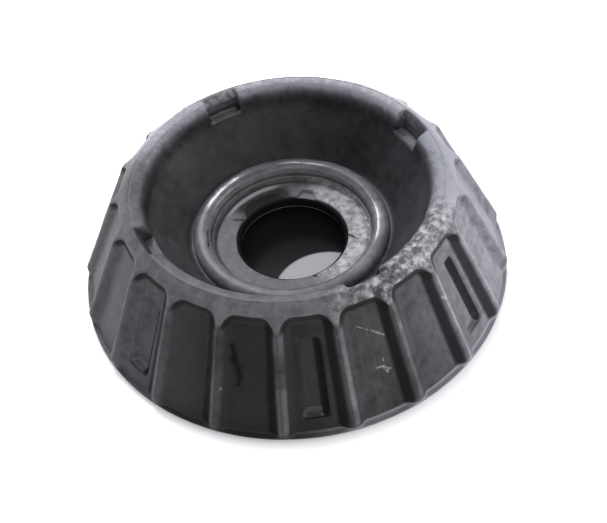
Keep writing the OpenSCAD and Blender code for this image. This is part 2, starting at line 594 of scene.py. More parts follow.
@dataclass(frozen=True)
class Zone:
    """A stretch of the surface, limited in radius, height and angle."""

    r: Slope | Band | None = None
    z: Slope | Band | None = None
    sector: Sector | None = None


class RubberSheet(Sheet):
    """The rubber's nodes, with its noises and the surfaces of the body at hand as masks."""

    def __init__(self, finish: "RubberFinish", cone: "RubberCone") -> None:
        """Starts the material.

        Args:
            finish: The finish, which names the zones.
            cone: The body that the wear follows.
        """
        super().__init__(finish.name)
        self.clouds = self.noise(14.0, 4.0, 0.6, 0.6, 1.0)
        self.mottle = self.noise(2.6, 4.0, 0.65, 0.3, 2.0)
        self.grain = self.noise(0.45, 2.0, 0.5, 0.0, 3.0)
        self.specks = self.noise(0.7, 3.0, 0.7, 0.0, 4.0)
        self.runs = self.streaks(0.9, 14.0, 5.0)
        self.spread = self.noise(1.9, 5.0, 0.68, 0.15, 6.0).rise(0.4, 0.68)
        self.patches = self.mottle.rise(0.25, 0.75)
        self._measure_pockets(finish, cone)
        self.flank = self.zone(finish.flank)
        self.proud = self.above.rise(*finish.proud_above) * self.flank
        self.crest = self.proud * (0.25 + 0.75 * self.clouds.rise(0.35, 0.65))
        self.deep = self.above.rise(*finish.deep_above) * self.flank
        hollow = self.reach.rise(*finish.hollow_reach) * self.zone(finish.hollow)
        self.rim = self.zone(finish.rim) * (1.0 - hollow)
        self.battered = self.sector(*finish.battered) * self.rim
        zones = (finish.dusty_lit_crown, finish.ring, finish.land, finish.ridge)
        self.dusty_lit_crown, self.ring, self.land, self.ridge = (self.zone(zone) for zone in zones)
        turns = [cone.notch_turn + i * 360.0 / cone.notches for i in range(cone.notches)]
        half = cone.notch_deg / 2.0
        self.gaps = reduce(add, [self.sector(turn, half, finish.notch_soft) for turn in turns])

    def _measure_pockets(self, finish: "RubberFinish", cone: "RubberCone") -> None:
        """Measures the surface against the flank, its pockets and their round upper corners.

        Args:
            finish: The finish, which places the corners.
            cone: The body with its pockets.
        """
        half = cone.pocket_deg / 2.0
        pitches = (self.turn - cone.front_deg) * (cone.pockets / 360.0)
        self.off = (pitches - pitches.nearest()) * (360.0 / cone.pockets)
        self.from_start = self.off + half
        self.from_end = half - self.off
        out = (self.r - cone.base_r) * math.cos(cone.slope)
        self.above = out + (self.z - cone.band_h) * math.sin(cone.slope)
        across = (self.off.size() - (half - finish.corner_deg)).at_least(0.0) * finish.mm_per_deg
        up = (self.z - finish.corner_z).at_least(0.0) * finish.mm_per_rise
        self.reach = (across * across + up * up) ** 0.5


@dataclass(frozen=True)
class RubberFinish:
    """Black moulded rubber, dulled by a grey bloom, dusty and rubbed pale on what stands proud, with painted
    shade in its recesses and painted light on its lit sides, edges and ridges.
    """

    name: str = "moulded_rubber"
    black: Colour = (0.0085, 0.0078, 0.0088)
    bloom: Colour = (0.049, 0.0455, 0.0495)
    # Dust colour, also the colour of painted highlights on rib edges, ridges, foot and the rim's back
    dust_and_highlight: Colour = (0.2, 0.198, 0.206)
    # Bluish tint of the haze: painted light on the lit sides and the rim's back
    lit_haze: Colour = (0.258, 0.268, 0.297)
    pale: Colour = (0.52, 0.52, 0.53)
    # Near-black painted shade for walls, grooves, notches, the film's window and tears
    shade_black: Colour = (0.003, 0.003, 0.003)
    rough_low: float = 0.38
    rough_span: float = 0.22
    rough_dark: float = 0.35
    specular: float = 0.13
    coat_rough: float = 0.23
    bump_depth: float = 0.14
    bump_strength: float = 0.4
    # Heights above the flank, and distances from the pockets' upper corners
    proud_above: Slope = (-1.2, -0.3)
    deep_above: Slope = (-2.45, -2.8)
    corner_deg: float = 4.2
    corner_z: float = 27.0
    mm_per_deg: float = 0.85
    mm_per_rise: float = 1.1
    hollow_reach: Slope = (3.9, 3.3)
    arch_reach: Band = (2.3, 3.2, 0.7)
    notch_soft: float = 1.0
    # Angles in from a pocket's start or end, and from its middle: painted highlights on rib edges, painted
    # shade on walls
    right_edge_deg: Band = (0.0, 0.9, 0.5)
    left_edge_deg: Band = (0.0, 0.7, 0.4)
    shaded_wall_deg: Band = (1.1, 2.5, 1.2)
    slot_wall_deg: Band = (1.8, 3.9, 0.6)
    # Surfaces of the body, from the foot up and into the bowl
    over_foot: Zone = Zone(z=(1.6, 2.8))
    # Dust along the foot, with a painted highlight on the right
    foot: Zone = Zone((57.4, 58.2), (0.45, 1.8, 0.25))
    sill: Zone = Zone(z=(4.9, 5.95, 0.2))
    flank: Zone = Zone((43.5, 45.0), (29.2, 28.2))
    # Painted shade in the arches at the pockets' upper corners
    arch: Zone = Zone((43.0, 44.5), (26.5, 28.5))
    hollow: Zone = Zone((43.0, 44.0))
    outer: Zone = Zone((36.0, 44.0))
    rim: Zone = Zone((39.4, 47.0, 1.8), (27.5, 29.0))
    # Back of the rim's crown: dust, and painted light where light falls from the back
    dusty_lit_crown: Zone = Zone((40.6, 46.0, 0.8), (29.5, 30.5), (88.0, 50.0, 25.0))
    # Painted shade inside the notches
    notched: Zone = Zone((37.4, 41.4, 0.6), (27.4, 27.9))
    ledge: Zone = Zone((36.6, 40.8, 0.5), (26.5, 27.3, 0.15))
    bowl: Zone = Zone((37.6, 36.6))
    ring: Zone = Zone((28.6, 27.4), (16.6, 15.4))
    bead_out: Zone = Zone((27.4, 26.6))
    bead_in: Zone = Zone((22.6, 23.2))
    # Painted shade in the valley between bead and step
    step_groove: Zone = Zone((22.35, 22.6, 0.1), (11.7, 12.5, 0.2))
    # Painted highlight on the bank inside the bead, at the back
    lit_bank: Zone = Zone((21.6, 23.0, 0.25), (10.9, 11.5), (85.0, 60.0, 30.0))
    # Painted shade in the groove round the land
    land_groove: Zone = Zone((21.45, 21.9, 0.12), (10.7, 10.4))
    land: Zone = Zone((15.0, 22.0, 0.6), (12.5, 11.0))
    # Painted highlight on the window's outer ridge
    ridge: Zone = Zone((20.05, 20.75, 0.35), None, (122.0, 18.0, 14.0))
    # The film's window, painted dark: the dark of the bared steel, and painted shade on its slope
    bared_and_shaded: Zone = Zone((15.0, 19.2, 1.2), (10.6, 9.9), (114.0, 22.0, 12.0))
    # Sectors of dust, wear, haze, gloss, painted light and painted shade
    # Sides whose rib edges get painted highlights
    lit_right_edges: Sector = (-25.0, 62.0, 20.0)
    lit_left_edges: Sector = (-165.0, 58.0, 20.0)
    # Side where the foot's dust carries a painted highlight
    dusty_lit_foot: Sector = (-30.0, 45.0, 25.0)
    dusty_ring: Sector = (-42.0, 8.0, 10.0)
    clean_rim: Sector = (175.0, 40.0, 30.0)
    # Front-left flank, given less bloom as painted shade
    shaded_flank: Sector = (-112.0, 20.0, 16.0)
    light_walls: Sector = (16.0, 36.0, 12.0)
    battered: Sector = (-50.0, 18.0, 20.0)
    worn_land: Sector = (0.0, 50.0, 30.0)
    # Haze laid as painted light where light falls from the right, back, left and front
    hazy_lit_right: Sector = (16.0, 26.0, 60.0)
    hazy_lit_back: Sector = (85.0, 55.0, 35.0)
    hazy_lit_left: Sector = (180.0, 35.0, 30.0)
    hazy_lit_front: Sector = (-48.0, 26.0, 20.0)
    glossy_left: Sector = (138.0, 9.0, 13.0)
    glossy_back: Sector = (76.0, 9.0, 12.0)
    glossy_right: Sector = (-8.0, 10.0, 11.0)
    scuffs: tuple[Mark, ...] = (
        Mark((12.1, -45.7, 24.7), (15.6, -45.8, 22.5), 0.24),
        Mark((15.6, -45.8, 22.5), (18.3, -45.8, 20.5), 0.36),
        Mark((15.9, -50.5, 13.4), (17.5, -50.0, 13.3), 0.36),
        Mark((17.8, -50.2, 12.7), (19.2, -50.0, 12.0), 0.42),
        Mark((17.7, -50.0, 13.1), (18.5, -50.5, 11.6), 0.40),
        Mark((17.7, -49.0, 15.0), (17.7, -49.3, 14.4), 0.26),
        Mark((7.0, -48.1, 25.4), (7.2, -48.3, 24.9), 0.40),
        Mark((0.6, -54.8, 7.4), (0.8, -54.9, 7.1), 0.55),
        Mark((1.3, -55.8, 5.2), (1.5, -56.0, 4.9), 0.45),
        Mark((-22.3, -50.1, 12.9), (-22.4, -50.2, 12.6), 0.40),
        Mark((34.5, -37.7, 21.5), (37.0, -36.9, 19.2), 0.55),
        Mark((35.7, -36.6, 21.5), (36.5, -36.8, 20.0), 0.40),
        Mark((40.8, -37.1, 13.4), (41.3, -37.3, 12.3), 0.45),
        Mark((39.8, -36.6, 15.5), (40.3, -36.9, 14.5), 0.40),
    )
    # Tears, painted near-black as the shade inside them; the last one paints a shadow on the bead's inner
    # side
    gouges: tuple[Mark, ...] = (
        Mark((-18.0, -44.7, 22.8), (-17.7, -47.0, 18.8), 0.9),
        Mark((-18.2, -46.2, 19.8), (-17.5, -47.6, 17.6), 1.3),
        Mark((-17.5, -47.6, 17.6), (-17.4, -49.1, 15.0), 1.1),
        Mark((-17.4, -49.1, 15.0), (-18.1, -49.7, 13.4), 0.8),
        Mark((-23.1, 1.3, 14.65), (-23.1, -4.4, 14.85), 0.45),
    )

    def make(self, cone: "RubberCone") -> bpy.types.Material:
        """Builds the material.

        Args:
            cone: The body that the wear follows.

        Returns:
            The finished material.
        """
        s = RubberSheet(self, cone)
        # Haze and painted light on the lit sides
        hazy = self._haze_and_side_light(s)
        dark = self._painted_shade(s)
        torn = s.marks(self.gouges) * (0.5 + 0.5 * s.mottle.rise(0.25, 0.42))
        marked = s.marks(self.scuffs) * (0.08 + 0.55 * s.specks.rise(0.4, 0.62))
        colour = s.blend(self._bloom(s), self.black, self.bloom)
        # Dust, with painted highlights and painted light from the lit sides
        colour = s.blend(self._dust_and_highlights(s, hazy), colour, s.blend(hazy * 2.0, self.dust_and_highlight, self.lit_haze))
        # Painted shade turns walls, grooves, notches and the window near-black
        colour = s.blend(dark.at_most(0.9), colour, self.shade_black)
        # Pale rubbing, with painted light on the rim's back and a painted highlight on the window's ridge
        colour = s.blend(self._rubbed_and_lit(s), colour, self.pale)
        # Tears go near-black: painted shade inside them
        colour = s.blend(torn, colour, self.shade_black)
        s.set("Base Color", s.blend(marked, colour, self.pale))
        rough = self.rough_low + self.rough_span * s.patches
        s.set("Roughness", rough + self.rough_dark * (torn + dark).at_most(1.0))
        s.set("Specular IOR Level", self.specular)
        s.set("Coat Weight", self._gloss(s))
        s.set("Coat Roughness", self.coat_rough)
        height = s.grain * 0.3 + s.mottle * 0.55 + s.runs * s.flank * 0.12 - torn * 1.5
        s.bump(height, self.bump_depth, self.bump_strength)
        return s.material

    def _bloom(self, s: RubberSheet) -> Wire:
        """Masks the grey bloom, which is thinned on the front-left flank as painted shade.

        Args:
            s: The material's nodes.

        Returns:
            The mask.
        """
        bloom = s.clouds.rise(0.3, 0.7) * 0.55 + s.patches * 0.45 + s.runs.rise(0.4, 0.7) * s.flank * 0.3
        bloom = bloom + s.zone(self.bowl) * (1.0 - s.ring) * 0.28 + s.crest * 0.35
        # Less bloom on the front-left flank: painted shade
        return bloom * (1.0 - 0.85 * s.sector(*self.shaded_flank) * (s.flank - 0.95 * s.proud))

    def _haze_and_side_light(self, s: RubberSheet) -> Wire:
        """Masks the bluish haze, painted light on the right, over the back of the rim and thinly on the
        flank.

        Args:
            s: The material's nodes.

        Returns:
            The mask.
        """
        right = s.sector(*self.hazy_lit_right) * s.zone(self.outer) * (1.15 - 0.6 * s.battered)
        sides = s.sector(*self.hazy_lit_left) * 0.26 + s.sector(*self.hazy_lit_front) * 0.08
        return right + s.sector(*self.hazy_lit_back) * s.rim * 0.8 + sides * s.flank

    def _dust_and_highlights(self, s: RubberSheet, hazy: Wire) -> Wire:
        """Masks the dust on rim, ring, rib edges, ledges and foot, with painted highlights and painted light
        among it.

        Args:
            s: The material's nodes.
            hazy: Mask of the haze, painted light on the lit sides, which lies in the dust.

        Returns:
            The mask.
        """
        # Painted highlights, with some wear, on the rib edges of the lit sides
        right = s.from_start.hump(*self.right_edge_deg) * s.sector(*self.lit_right_edges)
        left = s.from_end.hump(*self.left_edge_deg) * s.sector(*self.lit_left_edges)
        edges = (right + left * 0.7) * s.crest * (0.5 + 0.3 * s.specks.rise(0.35, 0.65))
        # Rim dust, with painted light on the back of the crown
        rim = s.rim * (0.7 - 0.14 * s.sector(*self.clean_rim)) - s.battered * 0.45 + s.dusty_lit_crown * 0.7
        ring = s.ring * (0.75 + 0.25 * s.sector(*self.dusty_ring)) + s.land * 0.06
        # Painted highlights on the window's ridge and the bank; dust on the notch ledges
        ledges = (s.ridge + s.zone(self.lit_bank) + s.gaps * s.zone(self.ledge)) * 0.5
        floors = s.deep * (0.08 + 0.35 * s.zone(self.sill))
        # Dust on the foot, with a painted highlight on the right
        foot = s.zone(self.foot) * (0.1 + 0.85 * s.sector(*self.dusty_lit_foot))
        loose = (edges + rim + ring + ledges + floors) * (0.45 + 0.55 * s.patches)
        return loose + hazy * (0.33 + 0.52 * s.patches) + foot * 0.9

    def _painted_shade(self, s: RubberSheet) -> Wire:
        """Masks painted shade on shaded walls and in grooves, notches and the film's window.

        Args:
            s: The material's nodes.

        Returns:
            The mask, which may pass 1.
        """
        # Painted shade on the walls of pockets and slots and in their arches, lighter on the lit right side
        walls = s.from_end.hump(*self.shaded_wall_deg) * s.flank * s.zone(self.over_foot)
        walls = walls.at_least(s.off.hump(*self.slot_wall_deg) * s.deep)
        arches = s.reach.hump(*self.arch_reach) * s.zone(self.arch)
        dark = (walls * 0.85 + arches * 0.7) * (1.0 - 0.75 * s.sector(*self.light_walls))
        # Painted shade in the grooves by the bead and the land
        dark = dark + (s.zone(self.land_groove) + s.zone(self.step_groove)) * 0.55
        # Painted shade in the film's window and inside the notches
        return dark + s.zone(self.bared_and_shaded) * 0.65 + s.gaps * s.zone(self.notched) * 0.75

    def _rubbed_and_lit(self, s: RubberSheet) -> Wire:
        """Masks the pale rubbed blotches on rim, crown and film, with painted light on the crown and a
        painted highlight on the window's ridge.

        Args:
            s: The material's nodes.

        Returns:
            The mask.
        """
        rim = s.battered * s.spread * (0.3 + 0.7 * s.clouds.rise(0.35, 0.6)) * 0.95
        land = s.sector(*self.worn_land) * s.land * (0.45 * s.patches + 0.7 * s.spread)
        # Painted light on the crown and a painted highlight on the ridge
        return rim + land + s.dusty_lit_crown * (0.12 + 0.5 * s.spread) + s.ridge * 0.5

    def _gloss(self, s: RubberSheet) -> Wire:
        """Weight of the bead's glossy skin, which is stronger in three places."""
        skin = s.sector(*self.glossy_left) + s.sector(*self.glossy_back) + s.sector(*self.glossy_right) * 0.7
        return s.zone(self.bead_out) * s.zone(self.bead_in) * (0.1 + 0.9 * skin).at_most(1.0)


@dataclass(frozen=True)
class SteelFinish:
    """Dull pressed steel, dirty on its top face, painted black in the bore for its dirt and the shade inside
    it, with a painted highlight on the bore's lower edge.
    """

    name: str = "pressed_steel"
    stained: Colour = (0.05, 0.049, 0.051)
    bright: Colour = (0.36, 0.36, 0.37)
    # Near-black: dirt on the top face, and dirt with painted shade in the bore
    dirt_and_shade: Colour = (0.004, 0.004, 0.0045)
    metal: float = 0.85
    specular: float = 0.2
    bump_depth: float = 0.05
    bump_strength: float = 0.25
    # Painted shade inside the bore
    bore: Zone = Zone((15.9, 15.6), (6.35, 6.6))
    # Painted highlight on the bore's lower edge
    edge: Zone = Zone((15.7, 15.4), (6.6, 6.35))
    top: Zone = Zone(z=(8.3, 8.6))
    notch: Sector = (69.5, 10.0, 2.0)

    def make(self) -> bpy.types.Material:
        """Builds the material.

        Returns:
            The finished material.
        """
        s = Sheet(self.name)
        clouds = s.noise(5.0, 4.0, 0.6, 0.5, 7.0)
        grain = s.noise(0.35, 3.0, 0.6, 0.0, 8.0)
        bore, edge, top = [s.zone(zone) for zone in (self.bore, self.edge, self.top)]
        notch = s.sector(*self.notch) * top
        # Wear, with the painted highlight on the bore's lower edge
        worn_and_lit = clouds.rise(0.35, 0.75) * (0.5 - 0.42 * top) + edge * 0.9 + notch * 0.5
        colour = s.blend(worn_and_lit, self.stained, self.bright)
        # Painted shade in the bore, and dirt on the top face except at the tab
        s.set("Base Color", s.blend(bore + top * 0.88 * (1.0 - notch), colour, self.dirt_and_shade))
        s.set("Metallic", self.metal - self.metal * (bore + edge + top).at_most(1.0))
        s.set("Specular IOR Level", self.specular)
        s.set("Roughness", 0.3 + 0.2 * grain + 0.12 * clouds + 0.3 * (bore + top))
        s.bump(grain, self.bump_depth, self.bump_strength)
        return s.material


@dataclass(frozen=True)
class FloorFinish:
    """A pale light table that glows round the part, fading towards its foot as a painted shadow; under the
    part it is painted shade, darker towards the back, with one painted patch of daylight under the hole.
    """

    name: str = "pale_floor"
    colour: Colour = (0.9, 0.9, 0.9)
    # Painted shade under the part: darkest at the back (shade), lighter at the front (dusk)
    shade: Colour = (0.016, 0.015, 0.017)
    dusk: Colour = (0.075, 0.072, 0.07)
    dark: Colour = (0.0, 0.0, 0.0)
    light: Colour = (1.0, 1.0, 1.0)
    rough: float = 0.9
    specular: float = 0.1
    glow: float = 0.8
    # The glow fades out towards the part's foot: a painted contact shadow
    glow_r: Slope = (57.0, 67.0)
    pale_r: Slope = (36.0, 44.0)
    dusk_y: Slope = (4.0, -24.0)
    # Painted patch of daylight falling through the hole
    patch_at: Spot = (7.7, -14.1, 0.0)
    patch_r: Slope = (15.5, 14.7)
    patch_share: float = 0.5

    def make(self) -> bpy.types.Material:
        """Builds the material.

        Returns:
            The finished material.
        """
        s = Sheet(self.name)
        # Painted patch of daylight under the hole
        away = s.vector("DISTANCE", s.place, self.patch_at, output="Value")
        patch = away.rise(*self.patch_r) * self.patch_share
        # Painted shade under the part, darker towards the back
        under = s.blend(patch, s.blend(s.y.rise(*self.dusk_y), self.shade, self.dusk), self.colour)
        s.set("Base Color", s.blend(s.r.rise(*self.pale_r), under, self.colour))
        s.set("Roughness", self.rough)
        s.set("Specular IOR Level", self.specular)
        # Glow fading out towards the foot: painted shadow
        s.set("Emission Color", s.blend(s.r.rise(*self.glow_r), self.dark, self.light))
        s.set("Emission Strength", self.glow)
        return s.material


@dataclass(frozen=True)
class Crack:
    """A tear in the film, from the hole's edge outwards."""

    start: float
    end: float
    reach: float


@dataclass(frozen=True)
class Opening:
    """A place where the film leaves the steel bare.

    The halves are half its angle at the hole and at its far end. Taper and soft are the widths of its
    slopes, in degrees round the axis and in millimetres along the radius.
    """

    middle: float
    halves: Point
    reach: float
    taper: float
    soft: float

    def depth(self, places: Places, hole_r: float) -> np.ndarray:
        """Tells how far the film is drawn down.

        Args:
            places: Places of the points.
            hole_r: Radius of the film's edge.

        Returns:
            Share of the film's thickness that is gone at each point.
        """
        share = np.clip((places.r - hole_r) / (self.reach - hole_r), 0.0, 1.0)
        half = self.halves[0] + (self.halves[1] - self.halves[0]) * share
        across = smooth_step((half - places.off(self.middle)) / self.taper + 0.5)
        return across * smooth_step((self.reach - places.r) / self.soft + 0.5)


@dataclass
class SteelCore:
    """The pressed steel ring with its through hole and the cup underneath."""

    hole_r: float = mount_radius("core_bore")
    cup_r: float = mount_radius("bearing_cup")
    edge_r: float = 0.4
    plate_z: float = 6.0
    plate_top: float = 9.0
    cup_bend_r: float = 1.2
    cup_edge_z: float = 0.8
    skirt_r: float = 33.0
    columns: int = 192
    crisp_deg: float = 38.0

    def build(self) -> bpy.types.Object:
        """Turns the ring with its rounded edges.

        Returns:
            The finished piece.
        """
        pen = Pen()
        pen.dot(self.hole_r, (self.plate_z + self.plate_top) / 2.0)
        pen.corner((self.hole_r, self.plate_z), (self.cup_r, self.plate_z), self.edge_r, 4)
        pen.corner((self.cup_r, self.plate_z), (self.cup_r, self.cup_edge_z), self.cup_bend_r, 5, 5)
        pen.corner((self.cup_r, self.cup_edge_z), (self.skirt_r, self.cup_edge_z), self.edge_r, 3, 2)
        pen.line(self.skirt_r, self.cup_edge_z, 2)
        pen.line(self.skirt_r, self.plate_top, 2)
        pen.corner((self.hole_r, self.plate_top), pen.points[0], self.edge_r, 4, 6)
        piece = Bench.lathe("steel_ring", pen.points, 0.0, [(360.0, self.columns)])
        Bench.close_up(piece, self.crisp_deg)
        return piece


@dataclass
class RubberCone:
    """The moulded rubber body: pocketed flank, notched rim, bowl, bead and film."""

    core: SteelCore
    cup_bevel_w: float = 2.0
    base_r: float = 59.98
    base_edge_r: float = 1.0
    band_h: float = 3.6
    band_r: float = 0.8
    shoulder: Point = (47.5, 28.7)
    shoulder_r: float = 2.5
    crest: Point = (42.0, 33.0)
    crest_r: float = 2.2
    crest_steps: int = 8
    crest_gap: float = 0.4
    fin_h: float = 0.16
    fin_w: float = 0.4
    lip: Point = (38.5, 31.8)
    lip_r: float = 3.4
    crease: Point = (37.0, 26.2)
    crease_r: float = 10.0
    bowl_foot: Point = (28.5, 12.8)
    bowl_foot_r: float = 2.5
    bead: Point = (25.0, 13.1)
    bead_r: float = 2.1
    bead_flat: float = 1.0
    bead_end_deg: float = 165.0
    step: Point = (22.45, 11.8)
    step_r: float = 0.2
    ridge: Point = (21.95, 12.0)
    ridge_r: float = 0.3
    groove: Point = (21.9, 9.8)
    groove_r: float = 0.25
    land_edge: Point = (21.0, 10.45)
    land_edge_r: float = 1.2
    film_edge: Point = (15.7, 9.8)
    film_edge_r: float = 0.4
    film_margin: float = 0.5
    film_top_sink: float = 0.5
    film_foot_sink: float = 0.6
    film_touch: float = 0.01
    pockets: int = 21
    pocket_deg: float = 16.2
    pocket_depth: float = 2.0
    pocket_draft: float = 58.0
    pocket_straight: float = 0.2
    pocket_corner_r: float = 4.0
    pocket_top_z: float = 31.6
    pocket_end_z: float = 1.3
    pocket_foot_h: float = 0.55
    foot_straight: float = 0.7
    slot_every: int = 3
    slot_deg: float = 6.2
    slot_depth: float = 2.0
    slot_run: float = 1.5
    slot_corner_r: float = 1.4
    slot_top_z: float = 25.0
    slot_end_z: float = 5.0
    slot_foot_h: float = 0.9
    front_deg: float = -90.0
    wall_deg: float = 3.6
    slot_edge_deg: float = 1.8
    notches: int = 4
    notch_deg: float = 14.0
    notch_turn: float = 23.0
    notch_floor_z: float = 27.0
    notch_from_r: float = 36.0
    notch_r: float = 40.5
    notch_run: float = 1.4
    notch_slope: float = 2.4
    window: Opening = Opening(116.0, (25.0, 18.0), 19.3, 16.0, 2.6)
    tab: Opening = Opening(69.5, (9.5, 5.0), 18.1, 1.2, 0.5)
    cracks: tuple[Crack, ...] = (
        Crack(-74.5, -72.0, 17.2),
        Crack(-7.5, -14.7, 18.5),
        Crack(146.0, 151.5, 18.5),
    )
    crack_w: float = 0.75
    crack_full: float = 1.15
    crack_tip: float = 0.3
    dip_depth: float = 0.22
    dip_size: float = 7.0
    crisp_deg: float = 42.0

    def build(self) -> bpy.types.Object:
        """Turns the section and presses pockets, notches and film openings into it.

        Returns:
            The finished piece.
        """
        start = self.front_deg - 360.0 / self.pockets / 2.0
        piece = Bench.lathe("rubber_body", self._section().points, start, self._columns(), self.pockets)
        self._press_pockets(piece)
        self._press_slots(piece)
        Bench.uneven(piece, self.dip_depth, self.dip_size)
        self._press_notches(piece)
        self._open_film(piece)
        self._tear_film(piece)
        Bench.close_up(piece, self.crisp_deg)
        return piece

    def _section(self) -> Pen:
        """Draws the half section, from the steel's skirt out, over the rim and down to the film.

        Returns:
            The pen with its points.
        """
        pen = Pen()
        pen.dot(self.core.skirt_r, self.core.cup_edge_z)
        pen.line(self.core.skirt_r + self.cup_bevel_w, 0.0)
        pen.corner((self.base_r, 0.0), (self.base_r, self.band_h), self.base_edge_r, 4, 2)
        pen.line(self.base_r, self.pocket_end_z)
        pen.line(self.base_r, self.pocket_end_z + self.pocket_foot_h, 4)
        pen.corner((self.base_r, self.band_h), self.shoulder, self.band_r, 3, 3)
        pen.corner(self.shoulder, self.crest, self.shoulder_r, 6, 34)
        pen.corner(self.crest, self.lip, self.crest_r, self.crest_steps, 6)
        self._raise_fin(pen)
        pen.corner(self.lip, self.crease, self.lip_r, 6, 3)
        pen.corner(self.crease, self.bowl_foot, self.crease_r, 6, 4)
        pen.corner(self.bowl_foot, (self.bead[0], self.bowl_foot[1]), self.bowl_foot_r, 5, 6)
        rise = math.degrees(math.asin((self.bowl_foot[1] - self.bead[1]) / self.bead_r))
        outer, inner = ((self.bead[0] + x * self.bead_flat / 2.0, self.bead[1]) for x in (1.0, -1.0))
        pen.arc(outer, self.bead_r, rise, 90.0, 8)
        pen.line(inner[0], inner[1] + self.bead_r, 2)
        pen.arc(inner, self.bead_r, 90.0, self.bead_end_deg, 7)
        pen.corner(self.step, self.ridge, self.step_r, 3)
        pen.corner(self.ridge, self.groove, self.ridge_r, 4)
        pen.corner(self.groove, self.land_edge, self.groove_r, 3, 2)
        pen.corner(self.land_edge, self.film_edge, self.land_edge_r, 4)
        pen.corner(self.film_edge, (self.film_edge[0], self.core.plate_top), self.film_edge_r, 3, 13)
        pen.line(self.film_edge[0], self.core.plate_top)
        pen.line(self.core.skirt_r, self.core.plate_top, 2)
        return pen

    def _raise_fin(self, pen: Pen) -> None:
        """Lifts the middle of the crest's arc into the thin fin of the mould's parting line.

        Args:
            pen: Pen that has just drawn the crest.
        """
        middle = len(pen.points) - 1 - self.crest_steps // 2
        r, z = pen.points[middle]
        half = self.fin_w / 2.0
        pen.points[middle:middle + 1] = [(r + half, z), (r, z + self.fin_h), (r - half, z)]

    def _columns(self) -> list[tuple[float, int]]:
        """Spaces the columns of one pitch, closer over the walls of pocket and slot.

        Returns:
            Angles and the steps in each.
        """
        rib = (360.0 / self.pockets - self.pocket_deg) / 2.0
        floor = (self.pocket_deg - self.slot_deg - self.slot_edge_deg) / 2.0 - self.wall_deg
        slot = (self.slot_deg - self.slot_edge_deg) / 2.0
        half = [(rib, 1), (self.wall_deg, 6), (floor, 1), (self.slot_edge_deg, 4), (slot, 2)]
        return half + half[::-1]

    @property
    def slope(self) -> float:
        """Slope of the flank from the upright, in radians."""
        return math.atan((self.base_r - self.shoulder[0]) / (self.shoulder[1] - self.band_h))

    def _up_flank(self, z: float) -> float:
        """Distance up the flank at which a pocket's floor reaches a height."""
        return (z - self.band_h + self.pocket_depth * math.sin(self.slope)) / math.cos(self.slope)

    def _floor_former(self, name: str, depth: float) -> bpy.types.Object:
        """Makes the cone that a pocket's or slot's floor lies on.

        Args:
            name: Name of the former.
            depth: Depth of the floor, square to the flank.

        Returns:
            The former.
        """
        low_z, high_z = -10.0, 45.0
        inset = self.base_r - depth / math.cos(self.slope)
        ends = [(inset - (z - self.band_h) * math.tan(self.slope), z) for z in (low_z, high_z)]
        return Bench.former(name, *ends)

    def _pocket_angle(self, places: Places) -> tuple[np.ndarray, np.ndarray]:
        """Splits the girth into pockets.

        Args:
            places: Places of the points.

        Returns:
            Each point's angle from its pocket's middle, and the pocket's number.
        """
        turns = (places.phi - self.front_deg) * self.pockets / 360.0
        number = np.round(turns)
        return np.abs(turns - number) * 360.0 / self.pockets, np.mod(number, self.pockets)

    def _flank_places(self, places: Places) -> tuple[np.ndarray, np.ndarray, np.ndarray]:
        """Measures points against the flank.

        Args:
            places: Places of the points.

        Returns:
            Height above the flank, distance up it, and whether a point is on the outside at all.
        """
        dr = places.r - self.base_r
        dz = places.z - self.band_h
        above = dr * math.cos(self.slope) + dz * math.sin(self.slope)
        up = dz * math.cos(self.slope) - dr * math.sin(self.slope)
        return above, up, (places.r > self.crest[0] + self.crest_gap) & (places.z > self.pocket_end_z)

    @staticmethod
    def _inside(side: np.ndarray, end: np.ndarray, corner_r: float) -> np.ndarray:
        """Distance inside a pocket's outline, whose upper corners are round.

        Args:
            side: Distance from the nearer side.
            end: Distance below the upper end.
            corner_r: Radius of the corners.

        Returns:
            Distance from the outline, negative outside it.
        """
        a = corner_r - side
        b = corner_r - end
        rounded = np.hypot(np.maximum(a, 0.0), np.maximum(b, 0.0))
        return corner_r - rounded - np.minimum(np.maximum(a, b), 0.0)

    def _press_pockets(self, piece: bpy.types.Object) -> None:
        """Presses all the pockets into the flank.

        Args:
            piece: Piece to shape.
        """
        places = Places.of(piece)
        off, _ = self._pocket_angle(places)
        above, up, outside = self._flank_places(places)
        side = places.r * np.radians(self.pocket_deg / 2.0 - off)
        run = self.pocket_depth * math.tan(math.radians(self.pocket_draft))
        inside = self._inside(side, self._up_flank(self.pocket_top_z) - up, self.pocket_corner_r)
        wall = moulded_wall(inside / run, self.pocket_straight)
        foot = moulded_wall((places.z - self.pocket_end_z) / self.pocket_foot_h, self.foot_straight)
        proud = outside & (above > -self.pocket_depth)
        weights = np.where(proud, wall * foot, 0.0)
        Bench.press(piece, self._floor_former("pocket_floor", self.pocket_depth), weights)

    def _press_slots(self, piece: bpy.types.Object) -> None:
        """Presses a slot into the floor of every third pocket.

        Args:
            piece: Piece to shape.
        """
        places = Places.of(piece)
        off, number = self._pocket_angle(places)
        _, up, outside = self._flank_places(places)
        side = places.r * np.radians(self.slot_deg / 2.0 - off) + self.slot_run / 2.0
        inside = self._inside(side, self._up_flank(self.slot_top_z) - up, self.slot_corner_r)
        wall = moulded_wall(inside / self.slot_run)
        foot = moulded_wall((places.z - self.slot_end_z) / self.slot_foot_h, self.foot_straight)
        weights = np.where(outside & (number % self.slot_every == 0), wall * foot, 0.0)
        Bench.press(piece, self._floor_former("slot_floor", self.pocket_depth + self.slot_depth), weights)

